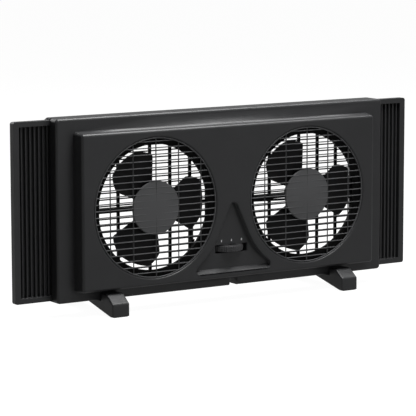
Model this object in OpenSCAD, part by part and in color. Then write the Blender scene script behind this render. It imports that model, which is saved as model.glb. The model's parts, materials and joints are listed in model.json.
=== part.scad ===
// Twin window fan on two screw-on feet, with a side panel drawn out at each end.
// Millimetres. X runs along the fan, the room side faces -Y, Z is up.
// The origin is on the surface the feet stand on, below the middle of the feet.

/* [Fan openings] */
// Diameter of each round opening
opening_d = 232; // [210:1:260]
// Gap between the two openings
opening_gap = 68; // [60:1:90]
// Radius of the edge that rolls in around an opening
lip_round = 3.5; // [2:0.5:3.5]
// How far the fan axes lie below the body's middle
fan_drop = 2.7; // [0:0.1:5]

/* [Raised panel] */
// Flat margin above and below an opening
panel_margin_z = 12; // [9:0.5:20]
// Flat margin beside an opening
panel_margin_x = 22.5; // [18:0.5:40]
// How far the raised panel stands proud of the main face
panel_proud = 24; // [22:0.5:30]
// How far the panel's middle lies below the body's middle
panel_drop = 3; // [0:0.5:6]
// Corner radius of the raised panel
panel_corner = 5; // [3:0.5:10]

/* [Body] */
// Border of the main face above and below the raised panel
border_z = 22; // [20:0.5:40]
// Border of the main face beside the raised panel
border_x = 34.5; // [34:0.5:60]
// Depth of the body behind its main face
body_d = 40; // [38:1:60]
// Wall thickness of the housings
wall = 2.5; // [2:0.1:3.5]
// Corner radius of the body
body_corner = 6; // [3:0.5:12]

/* [Front grille] */
// How far the grille lies behind the raised panel's face
grille_recess = 1; // [1:0.5:3]
// Thickness of the grille
grille_t = 3.5; // [2.5:0.1:4]
// Distance between two level bars
bar_pitch = 10.8; // [9:0.1:13]
// Width of a level bar
bar_w = 1.8; // [1.4:0.1:2.6]
// Width of an upright bar
upright_w = 2.3; // [1.6:0.1:3.5]
// Distance between two uprights
upright_pitch = 43.2; // [36:0.1:50]
// Diameter of the solid disc in the middle
cap_d = 89; // [80:1:96]

/* [Rear guard] */
// Width of the solid post between the two guards
post_w = 28; // [20:1:36]
// Width of the guard's frame
guard_rim = 4; // [3:0.5:6]
// Thickness of the guard
guard_t = 4.5; // [3.5:0.1:5]
// Width of an upright of the guard
guard_bar_w = 4.5; // [3:0.1:6]
// Distance between two uprights of the guard
guard_pitch = 39; // [34:0.5:42]

/* [Impeller] */
// Distance from the blade tips in to the rim of the opening
tip_inset = 18.5; // [17:0.5:24]
// Angle covered by one blade
blade_sweep = 68; // [50:1:75]
// Depth of the blades and the hub along the axis
blade_depth = 13; // [11.5:0.5:16]
// Thickness of a blade
blade_t = 1.8; // [1.4:0.1:2.5]

/* [Motor] */
// Diameter of the motor case
motor_d = 42; // [38:1:46]
// Length of the motor case
motor_l = 20; // [19:0.5:24]
// Gap between the motor case and the hub that turns around it
hub_gap = 4.5; // [3:0.5:6]
// Diameter of the motor shaft
shaft_d = 6; // [5:0.5:8]
// Radial gap between the shaft and its bushes
shaft_gap = 0.04; // [0.02:0.01:0.08]

/* [Side panels] */
// How far each side panel shows beside the body
panel_reach = 66; // [62:1:68]
// Travel of a side panel from drawn out to pushed in
panel_travel = 60; // [40:1:61]
// Thickness of a side panel
side_t = 11.2; // [8:0.1:12]
// Sliding gap around a side panel
slide_gap = 0.4; // [0.3:0.05:0.5]
// Distance between two ribs
rib_pitch = 7.9; // [6:0.1:10]

/* [Control] */
// Diameter of the thumbwheel
wheel_d = 60; // [54:1:62]
// Thickness of the thumbwheel
wheel_t = 10; // [8:0.5:11]
// Depth of the pocket in the raised panel
pocket_d = 8; // [6:0.5:10]
// Flat strip between an opening and the pocket
pocket_margin = 14.5; // [12:0.5:17]
// Height of the thumbwheel above the pocket's lower edge
wheel_lift = 40.5; // [36:0.1:50]

/* [Feet] */
// Height of the body above the surface
foot_h = 24; // [20:1:32]
// Width of a foot
foot_w = 32; // [26:1:40]
// Length of a foot from front to back
foot_l = 175; // [160:1:190]
// How far a foot reaches in front of the main face
foot_reach = 40; // [34:1:50]
// Distance between the middles of the two feet
foot_spacing = 456; // [430:1:470]
// How high a foot laps up the body
foot_lip = 12; // [8:0.5:15]

/* [Hidden] */
$fn = 96;

// Allowances: joined solids run into each other by eps, cuts run past by over
eps = 0.01;
over = 1;
fit_gap = 0.2;
press_gap = 0.01;
slip_gap = 0.05;

// Levels along Y, counted back from the main face
face_y = foot_reach - foot_l / 2;
panel_front = -panel_proud;
grille_front = panel_front + grille_recess;
grille_back = grille_front + grille_t;
front_depth = body_d / 2;
side_back = front_depth + side_t + 2 * slide_gap;
back_inside = body_d - wall;

// Overall sizes, worked outward from the openings
fan_spacing = opening_d + opening_gap;
panel_w = fan_spacing + opening_d + 2 * panel_margin_x;
panel_h = opening_d + 2 * panel_margin_z;
body_w = panel_w + 2 * border_x;
body_h = panel_h + 2 * border_z;

// Heights and half widths
mid_z = foot_h + body_h / 2;
fan_x = fan_spacing / 2;
half_w = body_w / 2;
half_h = body_h / 2;
inner_h = half_h - wall;

// Round opening and its funnel
opening_r = opening_d / 2;
lip_flat = 1;
lip_root_r = opening_r + lip_round + lip_flat;
lip_root = 2;
lip_steps = 8;
seat_w = 1.8;
seat_r = opening_r - seat_w;
tip_r = opening_r - tip_inset;
tip_gap = 6.5;
lip_r = tip_r + tip_gap;
funnel_l = 5;
lip_l = 5;
lip_back = grille_back + funnel_l + lip_l;

// Front grille
bar_shift = 1.5;
grille_lap = 0.2;
bar_reach = floor(opening_r / bar_pitch);
upright_reach = floor(opening_r / upright_pitch);

// Impeller
blade_count = 3;
grille_clear = 2.5;
blade_front = grille_back + grille_clear;
blade_back = blade_front + blade_depth;
hub_web = 2.5;
hub_r = motor_d / 2 + hub_gap + hub_web;
web_r = hub_r - hub_web + 0.5;
hub_recess = 3.5;
hub_web_y = blade_front + hub_recess;
boss_r = 8;
shaft_r = shaft_d / 2;
nut_t = 3.5;
shaft_stub = 0.8;
shaft_front = hub_web_y - nut_t - shaft_stub;

// Motor
motor_r = motor_d / 2;
motor_nest = 2;
motor_front = blade_back - motor_nest;
motor_back = motor_front + motor_l;
bell_split = (motor_front + motor_back) / 2;
bell_wall = 1.8;
nose_r = 8.5;
nose_l = 2.5;
nose_lip = 1;
nose_front = motor_front - nose_l;
spin_gap = 0.5;
boss_l = nose_front - spin_gap - hub_web_y;
bush_r = 5.5;
bush_front = nose_front + nose_lip;
bush_back = motor_front + bell_wall;
rear_nose_l = 3;
rear_nose_front = motor_back - bell_wall - rear_nose_l;
shaft_clear = 0.6;
shaft_end_gap = 1.2;
stator_l = 8;
stator_front = bell_split - stator_l / 2;
stator_back = bell_split + stator_l / 2;
stator_slot_r = 2;
stator_slot_in = 4.3;
rotor_r = 10;
air_gap = 0.5;
wound_l = 3.4;
wound_margin = 2;
bell_flange_r = motor_r + 5.5;
bell_flange_t = 2;
motor_screw_r = motor_r + 4;
motor_screw_d = 3.8;
motor_screw_end = 1.5;
ear_reach = motor_screw_r + 4;
ear_w = 12;
bolt_circle_r = motor_r + 2.8;
bolt_d = 3;
bolt_head_r = 2.4;
bolt_head_t = 1.5;

// Rear guard
guard_w = fan_spacing - post_w;
guard_margin = 1.7;
guard_h = panel_h - 2 * guard_margin;
guard_flange_t = 2;
guard_front = back_inside - guard_t + guard_flange_t;
guard_left_gap = 20;
guard_right_gap = 35;
guard_bars = [for (i = [0 : 2]) guard_left_gap - guard_w / 2 + i * guard_pitch,
              for (i = [0 : 2]) guard_w / 2 - guard_right_gap - (2 - i) * guard_pitch];
plate_t = 3;
plate_back = motor_back + plate_t;
pillar_r = 8;
strut_h = 6;
strut_drop = 5;
strut_tip = 12;

// Housing screws
boss_inner_x = 60;
boss_foot_gap = 8;
boss_edge = 11;
boss_x = [boss_inner_x, foot_spacing / 2 + foot_w / 2 + boss_foot_gap];
boss_z = half_h - boss_edge;
boss_tube_r = 4.2;
pillar_wall = 1.3;
screw_hole_y = wall + 4;
screw_tip_y = wall + 8;
screw_r = 1.9;
screw_clear = 0.3;
screw_head_r = 3.6;
screw_head_t = 2.2;

// Leads inside the housing, and the clips that hold them
lead_r = 2;
lead_y = side_back - lead_r - fit_gap;
lead_under = strut_drop + strut_h / 2 + lead_r + fit_gap;
lead_z = -fan_drop - lead_under;
lead_in_y = (bell_split + bell_flange_t + motor_back - bell_wall) / 2;
lead_turn = 5;
lead_bend = 9;
lead_round = 4;
bend_steps = 4;
tube_sides = 10;
lead_drop_in = 6;
lead_clips = [-72, -38];
clip_h = 5;
clip_wall = 1.2;
// Distance from the fan's axis at which a lead ends, within the bell's wall
lead_inside = sqrt(pow(motor_r - bell_wall / 2, 2) - pow(lead_under, 2));
function lead_bar(side) = side > 0 ? guard_bars[0] : guard_bars[len(guard_bars) - 1];

// Side panels
side_h = body_h - 2 * wall - 2 * slide_gap;
side_bar_h = 9;
side_end_w = 11;
side_sheet_t = 2.5;
side_rib_w = 2.8;
side_rib_back = 3;
side_first_rib = 5;
side_outer = half_w + panel_reach;
arm_h = 15;
boss_gap = 0.6;
slot_h = 2 * (boss_tube_r + boss_gap);
arm_tail = 14;
arm_end = boss_x[1] - boss_tube_r - arm_tail;
side_tuck = 33;
side_inner = half_w - side_tuck;
side_corner = 4;
side_arc_gap = 3;
side_arc_r = lip_r + side_arc_gap;
strut_clear = 4;
strut_reach = side_arc_r - strut_clear;
rail_h = 4;
rail_x = 160;

// Control
pocket_side_r = opening_r + pocket_margin;
pocket_tip_drop = 10.3;
pocket_tip_z = -fan_drop - pocket_tip_drop;
pocket_tip_r = 9.7;
pocket_lean = atan2(pocket_tip_drop, fan_x)
    + acos((pocket_side_r + pocket_tip_r) / norm([fan_x, pocket_tip_drop]));
pocket_edge = 7.5;
pocket_bottom = pocket_edge - panel_drop - panel_h / 2;
pocket_corner = 9;
pocket_corner_z = pocket_bottom + pocket_corner;
pocket_corner_x = fan_x - sqrt(pow(pocket_side_r + pocket_corner, 2) - pow(pocket_corner_z + fan_drop, 2));
pocket_turn = atan2(-fan_drop - pocket_corner_z, fan_x - pocket_corner_x);
arc_steps = 12;
function pocket_half(z) = fan_x - sqrt(pow(pocket_side_r, 2) - pow(z + fan_drop, 2));
pocket_floor_y = panel_front + pocket_d;
pocket_wall = 2;
ledge_low = 2;
ledge_high = 8;
groove_w = 1.3;
groove_d = 3;
pocket_flange = 3.5;
pocket_flange_t = 1.5;
pocket_sink = 0.3;
wheel_z = pocket_bottom + wheel_lift;
wheel_out = 11;
wheel_r = wheel_d / 2;
wheel_y = pocket_floor_y - wheel_out + wheel_r;
slot_side = 14.8;
slot_w = 2 * (pocket_half(wheel_z) - slot_side);
slot_gap = 2;
slot_z_h = wheel_t + 2 * slot_gap;
wheel_edge = 1;
wheel_grooves = 48;
groove_r = 1.1;
groove_out = 0.3;
shelf_drop = 3;
shelf_z = wheel_z - wheel_t / 2 - shelf_drop;
shelf_t = 2.5;
shelf_edge = 4;
cheek_gap = 1.5;
cheek_t = 2;
cheek_rise = 3;
shelf_w = 2 * (wheel_r + cheek_gap + cheek_t);
bracket_t = 2;
bracket_l = 16;
bracket_h = 14;
switch_w = 28;
switch_h = 20;
switch_top = shelf_z - shelf_t;
switch_floor = 2;
spindle_r = 3;
spindle_hole_r = spindle_r + 2.5;
neck_r = spindle_r + 2.3;
spindle_low = switch_top - switch_h + 3;
collar_r = spindle_r + 2;
collar_h = 2.5;
collar_gap = 0.4;
switch_screw_r = 1.5;
switch_screw_l = 5;
switch_head_r = 2.8;
switch_head_t = 1.6;
mark_w = 2;
mark_h = 3.6;
mark_t = 0.3;
mark_x = 20;
mark_lift = 13.4;
mark_z = wheel_z + mark_lift;

// Cord channel in the underside
notch_x = 15;
notch_w = 16;
notch_h = 13;
notch_wall = 2;
gland_r = 5.5;
gland_bore_r = 3.6;
gland_y = 28;
gland_h = 8;
gland_flange = 1.5;

// Feet
foot_x = foot_spacing / 2;
foot_back = foot_l - foot_reach;
foot_mid = (foot_back - foot_reach) / 2;
foot_front_drop = 2;
foot_front_h = foot_h - foot_front_drop;
foot_heel = 12;
foot_slope = 0.222;
foot_boss_wall = 3;
foot_boss_h = 9;
pad_l = 6;
pad_inset = 3;
pad_edge = 1;
pad_t = 2.5;
pad_show = 1;
foot_bottom = pad_show - foot_h;
foot_screw_y = 10;
foot_screw_r = 2;
foot_screw_seat = 5;
foot_screw_bite = 6;
foot_head_gap = 0.4;

// ---- helpers -------------------------------------------------------------

// An outline in X and Z about the body's middle, from level y0, depth deep
module slab(y0, depth) {
    translate([0, face_y + y0 + depth, mid_z])
        rotate([90, 0, 0])
            linear_extrude(depth) children();
}

// A round bar along Y, from level y0 to level y1
module rod(x, z, r, y0, y1) {
    translate([x, face_y + y0, mid_z + z])
        rotate([-90, 0, 0])
            cylinder(r = r, h = y1 - y0);
}

// A profile of radius and level, turned about a fan's axis
module turned(x) {
    translate([x, face_y, mid_z - fan_drop])
        rotate([-90, 0, 0])
            rotate_extrude() children();
}

module rounded_rect(w, h, r) {
    square([w - 2 * r, h], center = true);
    square([w, h - 2 * r], center = true);
    for (x = [-1, 1], z = [-1, 1])
        translate([x * (w / 2 - r), z * (h / 2 - r)]) circle(r);
}

module at_fans() {
    for (x = [-fan_x, fan_x]) translate([x, -fan_drop]) children();
}

module ring(r_out, r_in) {
    difference() {
        circle(r_out);
        circle(r_in);
    }
}

function unit(v) = v / norm(v);

// A route whose bends are rounded off over a length of bend to each side
function rounded_route(points, bend) = concat([points[0]],
    [for (k = [1 : len(points) - 2])
        let (a = points[k] + bend * unit(points[k - 1] - points[k]),
             b = points[k] + bend * unit(points[k + 1] - points[k]))
        for (i = [0 : bend_steps]) let (t = i / bend_steps)
            (1 - t) * (1 - t) * a + 2 * t * (1 - t) * points[k] + t * t * b],
    [points[len(points) - 1]]);

// Round tube along a route that never runs along Y
module tube(route, r) {
    n = tube_sides;
    last = len(route) - 1;
    points = [for (k = [0 : last])
        let (way = unit(route[min(k + 1, last)] - route[max(k - 1, 0)]),
             side = unit(cross(way, [0, 1, 0])), up = cross(side, way))
        for (j = [0 : n - 1]) let (a = 360 * j / n)
            route[k] + r * (cos(a) * side + sin(a) * up)];
    walls = [for (k = [0 : last - 1], j = [0 : n - 1])
        let (a = k * n + j, b = k * n + (j + 1) % n)
        each [[a, b, a + n], [b, b + n, a + n]]];
    near_end = [for (j = [n - 1 : -1 : 0]) j];
    far_end = [for (j = [0 : n - 1]) last * n + j];
    polyhedron(points, concat([near_end, far_end], walls));
}

// ---- housings --------------------------------------------------------------

// Points of an arc about x and z, from one angle to another
function arc(x, z, r, start, end, first = 0) = [for (i = [first : arc_steps])
    let (a = start + (end - start) * i / arc_steps) [x + r * cos(a), z + r * sin(a)]];

// Outline of the control pocket, between the two openings
module pocket_outline(grow) {
    right = concat(
        arc(pocket_corner_x, pocket_corner_z, pocket_corner + grow, -90, pocket_turn),
        arc(fan_x, -fan_drop, pocket_side_r - grow, 180 + pocket_turn, 180 + pocket_lean, 1),
        arc(0, pocket_tip_z, pocket_tip_r + grow, pocket_lean, 90));
    left = [for (i = [len(right) - 2 : -1 : 0]) [-right[i][0], right[i][1]]];
    polygon(concat(right, left));
}

module funnel(x) {
    roll = [for (i = [0 : lip_steps]) let (a = 90 * i / lip_steps)
        [opening_r + lip_round * (1 - sin(a)), panel_front + lip_round * (1 - cos(a))]];
    turned(x)
        polygon(concat([[lip_root_r, panel_front]], roll,
            [[opening_r, grille_back], [seat_r, grille_back], [lip_r, grille_back + funnel_l],
             [lip_r, lip_back], [lip_r + wall, lip_back],
             [lip_r + wall, grille_back + funnel_l + wall / 2], [lip_root_r, grille_back + lip_root]]));
}

module channel_block(y0, depth) {
    slab(y0, depth)
        translate([notch_x, -half_h + (notch_h + notch_wall) / 2])
            square([notch_w + 2 * notch_wall, notch_h + notch_wall], center = true);
}

module channel_cut(y0, depth) {
    slab(y0, depth)
        translate([notch_x, -half_h + notch_h / 2 - over])
            square([notch_w, notch_h + 2 * over], center = true);
}

module rails(y0, depth) {
    for (x = [-1, 1], z = [-1, 1])
        slab(y0, depth)
            translate([x * (rail_x + half_w - wall) / 2, z * (inner_h - rail_h / 2)])
                square([half_w - wall - rail_x, rail_h], center = true);
}

module foot_boss(x) {
    translate([x, face_y + foot_screw_y, foot_h + wall - eps])
        cylinder(r = foot_screw_r + foot_boss_wall, h = foot_boss_h);
}

module front_housing() color([0.2, 0.2, 0.21]) {
    difference() {
        union() {
            difference() {
                union() {
                    slab(0, front_depth) rounded_rect(body_w, body_h, body_corner);
                    slab(panel_front, panel_proud + over)
                        translate([0, -panel_drop]) rounded_rect(panel_w, panel_h, panel_corner);
                }
                slab(wall, front_depth)
                    rounded_rect(body_w - 2 * wall, body_h - 2 * wall, body_corner - wall);
                slab(panel_front + wall, panel_proud)
                    translate([0, -panel_drop])
                        rounded_rect(panel_w - 2 * wall, panel_h - 2 * wall, panel_corner - wall);
                slab(panel_front - over, panel_proud) at_fans() circle(lip_root_r - lip_flat / 2);
                slab(panel_front - over, wall + 2 * over) pocket_outline(fit_gap);
            }
            funnel(-fan_x);
            funnel(fan_x);
            rails(wall - eps, front_depth - wall + eps);
            for (x = boss_x, side = [-1, 1], z = [-boss_z, boss_z])
                rod(side * x, z, boss_tube_r, wall - eps, side_back);
            channel_block(wall - eps, front_depth - wall + eps);
            for (x = [-foot_x, foot_x]) foot_boss(x);
        }
        for (x = boss_x, side = [-1, 1], z = [-boss_z, boss_z])
            rod(side * x, z, screw_r, screw_hole_y, side_back + over);
        channel_cut(-over, front_depth + 2 * over);
        for (x = [-foot_x, foot_x])
            translate([x, face_y + foot_screw_y, foot_h - over])
                cylinder(r = foot_screw_r, h = wall + foot_boss_h - over);
    }
}

module rear_housing() color([0.17, 0.17, 0.18]) {
    difference() {
        union() {
            slab(back_inside, wall) rounded_rect(body_w, body_h, body_corner);
            difference() {
                slab(front_depth, body_d - front_depth) rounded_rect(body_w, body_h, body_corner);
                slab(front_depth - over, body_d - front_depth + 2 * over)
                    rounded_rect(body_w - 2 * wall, body_h - 2 * wall, body_corner - wall);
                slab(front_depth - over, side_back - front_depth + over)
                    square([2 * body_w, 2 * inner_h], center = true);
            }
            rails(side_back, body_d - side_back - eps);
            for (x = boss_x, side = [-1, 1], z = [-boss_z, boss_z])
                rod(side * x, z, boss_tube_r + pillar_wall, side_back, body_d - eps);
            channel_block(front_depth, body_d - front_depth - eps);
        }
        slab(back_inside - over, wall + 2 * over)
            for (x = [-fan_x, fan_x])
                translate([x, -fan_drop]) rounded_rect(guard_w, guard_h, panel_corner);
        for (x = boss_x, side = [-1, 1], z = [-boss_z, boss_z])
            rod(side * x, z, screw_r + screw_clear, side_back - over, body_d + over);
        channel_cut(front_depth - over, body_d);
        translate([notch_x, face_y + gland_y, foot_h + notch_h - over])
            cylinder(r = gland_r, h = notch_wall + 2 * over);
    }
}

// The two screws that hold the switch under the shelf, at height z
module at_switch_screws(z) {
    out = switch_w / 2 - shelf_edge;
    for (x = [-out, out])
        translate([x, face_y + wheel_y + out, mid_z + z]) children();
}

// Sloped ledge along the lower edge of the pocket
module ledge() {
    translate([-fan_x, face_y, mid_z + pocket_bottom])
        rotate([90, 0, 90]) linear_extrude(2 * fan_x)
            polygon([[panel_front, -over], [panel_front, ledge_low], [pocket_floor_y + eps, ledge_high],
                     [pocket_floor_y + eps, -over]]);
}

// Cheeks beside the thumbwheel and the roof over it, which close the slot to the inside
module wheel_box() {
    roof_z = wheel_z + wheel_t / 2 + cheek_rise;
    y0 = pocket_floor_y + wall - eps;
    for (x = [-1, 1])
        translate([x * (shelf_w - cheek_t) / 2 - cheek_t / 2, face_y + y0, mid_z + shelf_z - eps])
            cube([cheek_t, wheel_y - y0, roof_z - shelf_z + cheek_t]);
    translate([-shelf_w / 2, face_y + y0, mid_z + roof_z]) cube([shelf_w, wheel_y - y0, cheek_t]);
}

module control_panel() color([0.19, 0.19, 0.2]) {
    difference() {
        union() {
            difference() {
                slab(panel_front + pocket_sink, pocket_d + wall - pocket_sink) pocket_outline(0);
                slab(panel_front, pocket_d) pocket_outline(-pocket_wall);
            }
            intersection() {
                slab(panel_front + pocket_sink, pocket_d + wall - pocket_sink) pocket_outline(0);
                ledge();
            }
            slab(panel_front + wall, pocket_flange_t) difference() {
                pocket_outline(pocket_flange);
                pocket_outline(-pocket_wall);
            }
            wheel_box();
            translate([-shelf_w / 2, face_y + pocket_floor_y, mid_z + shelf_z - shelf_t])
                cube([shelf_w, wheel_y - pocket_floor_y + switch_w / 2 + shelf_edge, shelf_t]);
            for (x = [-1, 1])
                translate([x * (shelf_w - bracket_t) / 2 - bracket_t / 2, face_y + pocket_floor_y,
                           mid_z + shelf_z - bracket_h])
                    cube([bracket_t, bracket_l, bracket_h]);
        }
        slab(panel_front, groove_d)
            translate([-pocket_corner_x, pocket_bottom - over])
                square([2 * pocket_corner_x, groove_w + over]);
        translate([-slot_w / 2, face_y + pocket_floor_y - over, mid_z + wheel_z - slot_z_h / 2])
            cube([slot_w, wall + 2 * over, slot_z_h]);
        translate([0, face_y + wheel_y, mid_z + switch_top - over])
            cylinder(r = spindle_hole_r, h = shelf_t + 2 * over);
        at_switch_screws(switch_top - over)
            cylinder(r = switch_screw_r + fit_gap, h = shelf_t + 2 * over);
    }
}

// Three index marks above the thumbwheel
module dial_marks() color("white") {
    for (i = [-1, 0, 1])
        translate([i * mark_x - mark_w / 2, face_y + pocket_floor_y - mark_t, mid_z + mark_z - mark_h / 2])
            cube([mark_w, mark_t, mark_h]);
}

// ---- air path --------------------------------------------------------------

module front_grille(x) {
    slab(grille_front, grille_t)
        translate([x, -fan_drop]) {
            ring(opening_r - fit_gap, seat_r - grille_lap);
            circle(cap_d / 2);
            intersection() {
                circle(seat_r + grille_lap);
                union() {
                    for (i = [-bar_reach : bar_reach])
                        translate([0, i * bar_pitch + bar_shift]) square([opening_d, bar_w], center = true);
                    for (i = [-upright_reach : upright_reach])
                        translate([i * upright_pitch, 0]) square([upright_w, opening_d], center = true);
                }
            }
        }
}
module front_grille_left() color([0.22, 0.22, 0.23]) front_grille(-fan_x);
module front_grille_right() color([0.22, 0.22, 0.23]) front_grille(fan_x);

// Outline of the motor's plate and of the ears on its rear bell
module ear_outline() {
    circle(motor_r);
    square([ear_w, 2 * ear_reach], center = true);
}

// Plate behind a motor, the pillar behind it and the tapered strut that carries them
module motor_carrier(x) {
    slab(motor_back, plate_t) translate([x, -fan_drop]) ear_outline();
    rod(x, -fan_drop, pillar_r, plate_back - eps, guard_front + eps);
    slab(side_back, guard_front - side_back + eps)
        translate([x, -fan_drop - strut_drop]) square([guard_w - guard_rim, strut_h], center = true);
    translate([x, face_y, mid_z - fan_drop - strut_drop - strut_h / 2])
        linear_extrude(strut_h)
            polygon([[-strut_reach, guard_front], [-strut_reach, guard_front - strut_tip],
                     [-motor_r + over, motor_back + eps], [motor_r - over, motor_back + eps],
                     [strut_reach, guard_front - strut_tip], [strut_reach, guard_front]]);
}

module rear_guard(x) {
    h = guard_h;
    reach = floor(h / 2 / bar_pitch);
    difference() {
        union() {
            slab(back_inside - guard_flange_t, guard_flange_t - fit_gap / 2)
                translate([x, -fan_drop]) difference() {
                    rounded_rect(guard_w + 2 * guard_rim, h + 2 * guard_rim, panel_corner);
                    rounded_rect(guard_w - 2 * guard_rim, h - 2 * guard_rim, panel_corner);
                }
            slab(guard_front, guard_t)
                translate([x, -fan_drop]) {
                    difference() {
                        rounded_rect(guard_w - 2 * fit_gap, h - 2 * fit_gap, panel_corner);
                        rounded_rect(guard_w - 2 * guard_rim, h - 2 * guard_rim, panel_corner);
                    }
                    for (i = [-reach : reach])
                        translate([0, i * bar_pitch]) square([guard_w - guard_rim, bar_w], center = true);
                    for (bar = guard_bars)
                        translate([bar, 0]) square([guard_bar_w, h - guard_rim], center = true);
                }
            motor_carrier(x);
            slab(lead_y - lead_r - clip_wall, guard_front - lead_y + lead_r + clip_wall + eps)
                for (z = lead_clips)
                    translate([x + lead_bar(sign(x)), z])
                        square([2 * (lead_r + clip_wall), clip_h], center = true);
        }
        for (z = lead_clips)
            translate([x + lead_bar(sign(x)), face_y + lead_y, mid_z + z])
                cylinder(r = lead_r + fit_gap / 2, h = 2 * clip_h, center = true);
        for (z = [-motor_screw_r, motor_screw_r])
            rod(x, z - fan_drop, motor_screw_d / 2 + screw_clear, motor_back - over, plate_back + over);
    }
}
module rear_guard_left() color([0.15, 0.15, 0.16]) rear_guard(-fan_x);
module rear_guard_right() color([0.15, 0.15, 0.16]) rear_guard(fan_x);

// ---- impeller ----------------------------------------------------------------

// Angles of a blade's two edges at radius r; the corners at the tip are rounded
corner_lo = 12;
turn_lo = 20;
corner_hi = 22;
turn_hi = 14;
corner_bend = 1.3;
lead_share = 0.45;
blade_inset = 0.3;
blade_taper = 5;
blade_crown = 2.2;
function corner_turn(r, length, turn) = turn * pow(max(0, (r - (tip_r - length)) / length), corner_bend);
function edge_lo(r) = -blade_sweep * lead_share + corner_turn(r, corner_lo, turn_lo);
function edge_hi(r) = blade_sweep * (1 - lead_share) - corner_turn(r, corner_hi, turn_hi);

blade_steps = 10;
root_sink = 1.5;
root_r = hub_r - root_sink;
function station(j) = root_r + (tip_r - root_r) * sin(90 * j / blade_steps);
function blade_level(t, r) =
    let (s = (r - root_r) / (tip_r - root_r),
         depth = blade_depth - blade_t - 2 * blade_inset - blade_taper * s)
    (blade_front + blade_back) / 2 + (0.5 - t) * depth + blade_crown * sin(180 * t) * s;
function blade_point(i, j, side) =
    let (r = station(j), t = i / blade_steps,
         a = edge_lo(r) + t * (edge_hi(r) - edge_lo(r)))
    [r * cos(a), r * sin(a), blade_level(t, r) + side * blade_t / 2];

module blade() {
    n = blade_steps;
    row = n + 1;
    count = row * row;
    points = [for (side = [1, -1], i = [0 : n], j = [0 : n]) blade_point(i, j, side)];
    near = [for (i = [0 : n - 1], j = [0 : n - 1])
        let (p = i * row + j) each [[p, p + row, p + 1], [p + 1, p + row, p + row + 1]]];
    far = [for (f = near) [f[0] + count, f[2] + count, f[1] + count]];
    rim = concat([for (j = [0 : n - 1]) j],
                 [for (i = [0 : n - 1]) i * row + n],
                 [for (j = [0 : n - 1]) n * row + n - j],
                 [for (i = [0 : n - 1]) (n - i) * row]);
    edge = [for (k = [0 : len(rim) - 1])
        let (a = rim[k], b = rim[(k + 1) % len(rim)])
        each [[a, b, a + count], [b, b + count, a + count]]];
    polyhedron(points, concat(near, far, edge));
}

module impeller(x) {
    translate([x, face_y, mid_z - fan_drop])
        rotate([90, 0, 0]) mirror([0, 0, 1]) {
            difference() {
                union() {
                    translate([0, 0, blade_front])
                        difference() {
                            cylinder(r = hub_r, h = blade_depth);
                            translate([0, 0, -over])
                                cylinder(r = hub_r - hub_web, h = blade_depth + 2 * over);
                        }
                    translate([0, 0, hub_web_y]) cylinder(r = web_r, h = hub_web);
                    translate([0, 0, hub_web_y]) cylinder(r = boss_r, h = boss_l);
                }
                translate([0, 0, hub_web_y - over]) cylinder(r = shaft_r + press_gap, h = boss_l + 2 * over);
            }
            for (k = [0 : blade_count - 1])
                rotate([0, 0, k * 360 / blade_count]) blade();
        }
}
module impeller_left() color([0.12, 0.12, 0.13]) impeller(-fan_x);
module impeller_right() color([0.12, 0.12, 0.13]) impeller(fan_x);

module impeller_nut(x) {
    difference() {
        rod(x, -fan_drop, boss_r, hub_web_y - nut_t, hub_web_y);
        rod(x, -fan_drop, shaft_r + press_gap, hub_web_y - nut_t - over, hub_web_y + over);
    }
}
module impeller_nut_left() color("silver") impeller_nut(-fan_x);
module impeller_nut_right() color("silver") impeller_nut(fan_x);

// ---- motor -------------------------------------------------------------------

module motor_rotor(x) {
    rod(x, -fan_drop, shaft_r, shaft_front, motor_back - shaft_end_gap);
    rod(x, -fan_drop, rotor_r, stator_front, stator_back);
}
module motor_rotor_left() color([0.6, 0.6, 0.62]) motor_rotor(-fan_x);
module motor_rotor_right() color([0.6, 0.6, 0.62]) motor_rotor(fan_x);

module bolt_holes(x, y0, y1) {
    for (a = [0 : 90 : 270])
        rod(x + bolt_circle_r * cos(a), -fan_drop + bolt_circle_r * sin(a), (bolt_d + fit_gap) / 2, y0, y1);
}

module motor_front_bell(x) {
    difference() {
        union() {
            rod(x, -fan_drop, motor_r, motor_front, bell_split);
            rod(x, -fan_drop, bell_flange_r, bell_split - bell_flange_t, bell_split);
            rod(x, -fan_drop, nose_r, nose_front, motor_front + eps);
        }
        rod(x, -fan_drop, motor_r - bell_wall, motor_front + bell_wall, bell_split + over);
        rod(x, -fan_drop, bush_r, bush_front, bush_back + over);
        rod(x, -fan_drop, shaft_r + shaft_clear, nose_front - over, bush_back);
        bolt_holes(x, bell_split - bell_flange_t - over, bell_split + over);
    }
}
module motor_front_bell_left() color("silver") motor_front_bell(-fan_x);
module motor_front_bell_right() color("silver") motor_front_bell(fan_x);

module motor_rear_bell(x) {
    difference() {
        union() {
            difference() {
                union() {
                    rod(x, -fan_drop, motor_r, bell_split, motor_back);
                    rod(x, -fan_drop, bell_flange_r, bell_split, bell_split + bell_flange_t);
                    slab(motor_back - bell_flange_t, bell_flange_t) translate([x, -fan_drop]) ear_outline();
                }
                rod(x, -fan_drop, motor_r - bell_wall, bell_split - over, motor_back - bell_wall);
            }
            rod(x, -fan_drop, nose_r, rear_nose_front, motor_back - eps);
        }
        rod(x, -fan_drop, bush_r, rear_nose_front - over, motor_back - nose_lip);
        bolt_holes(x, bell_split - over, bell_split + bell_flange_t + over);
        for (z = [-motor_screw_r, motor_screw_r])
            rod(x, z - fan_drop, motor_screw_d / 2 + slip_gap,
                motor_back - bell_flange_t - over, motor_back + over);
        translate([x - sign(x) * motor_r, face_y + lead_in_y, mid_z + lead_z])
            rotate([0, 90, 0]) cylinder(r = lead_r + fit_gap, h = motor_r, center = true);
    }
}
module motor_rear_bell_left() color("silver") motor_rear_bell(-fan_x);
module motor_rear_bell_right() color("silver") motor_rear_bell(fan_x);

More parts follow.
